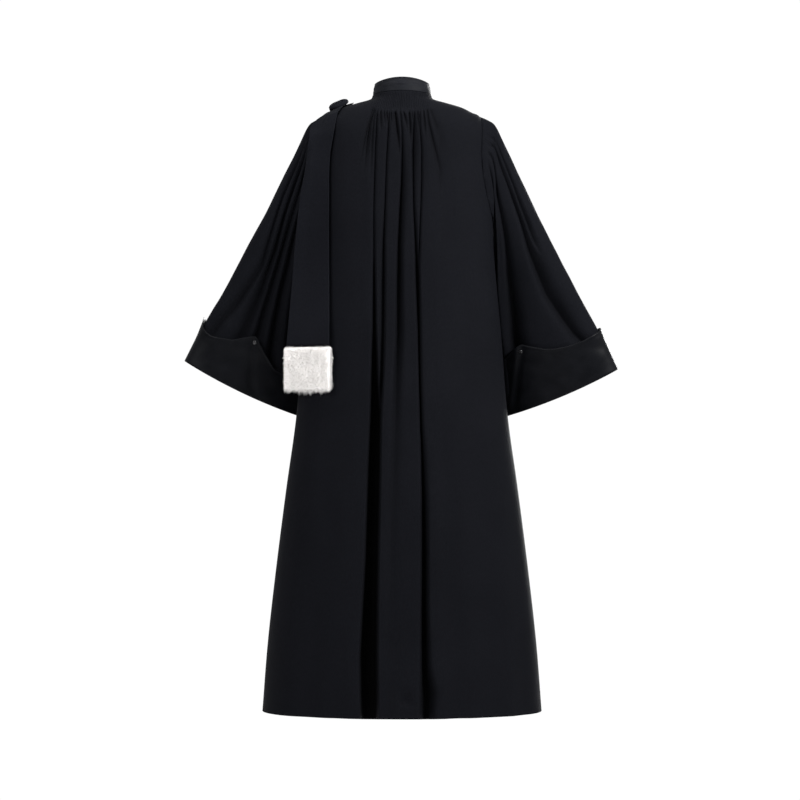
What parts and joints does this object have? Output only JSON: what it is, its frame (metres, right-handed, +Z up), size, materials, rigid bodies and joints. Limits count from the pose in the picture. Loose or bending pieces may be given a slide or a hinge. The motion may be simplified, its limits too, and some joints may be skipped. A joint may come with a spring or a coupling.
{
  "type": "judicial robe with shoulder stole",
  "caption": "Full-length judicial robe in its worn shape: stand collar, stitched back pleats, bell sleeves with turned-back cuffs, and a shoulder stole ending in fur.",
  "frame": {"origin": "midway between the shoulders at the height of the neck points, where the robe rests on its wearer; the collar's back stands 45 mm above it and the hem hangs 1342 mm below", "axes": "+Y is the way the wearer faces, so the pleated back faces -Y; +X is the wearer's right; +Z is up"},
  "size_m": [0.9596, 0.3561, 1.3871],
  "materials": {
    "wool": "matte black wool crepe",
    "satin": "black satin",
    "fur": "white fur",
    "horn": "black polished"
  },
  "bodies": {
    "root": {"back": "wool", "back_skirt": "wool", "front_left": "wool", "front_left_skirt": "wool", "front_right": "wool", "front_right_skirt": "wool", "placket": "wool", "button_01": "horn", "button_02": "horn", "button_03": "horn", "button_04": "horn", "button_05": "horn", "button_06": "horn", "button_07": "horn", "button_08": "horn", "button_09": "horn", "button_10": "horn", "button_11": "horn", "button_12": "horn", "collar": "satin", "sleeve_left": "wool", "sleeve_right": "wool", "cuff_left": "satin", "cuff_right": "satin", "cuff_stud_left": "horn", "cuff_stud_right": "horn", "stole_back": "wool", "stole_front": "wool", "stole_fur_back": "fur", "stole_fur_front": "fur", "stole_rosette": "wool"}
  },
  "joints": []
}
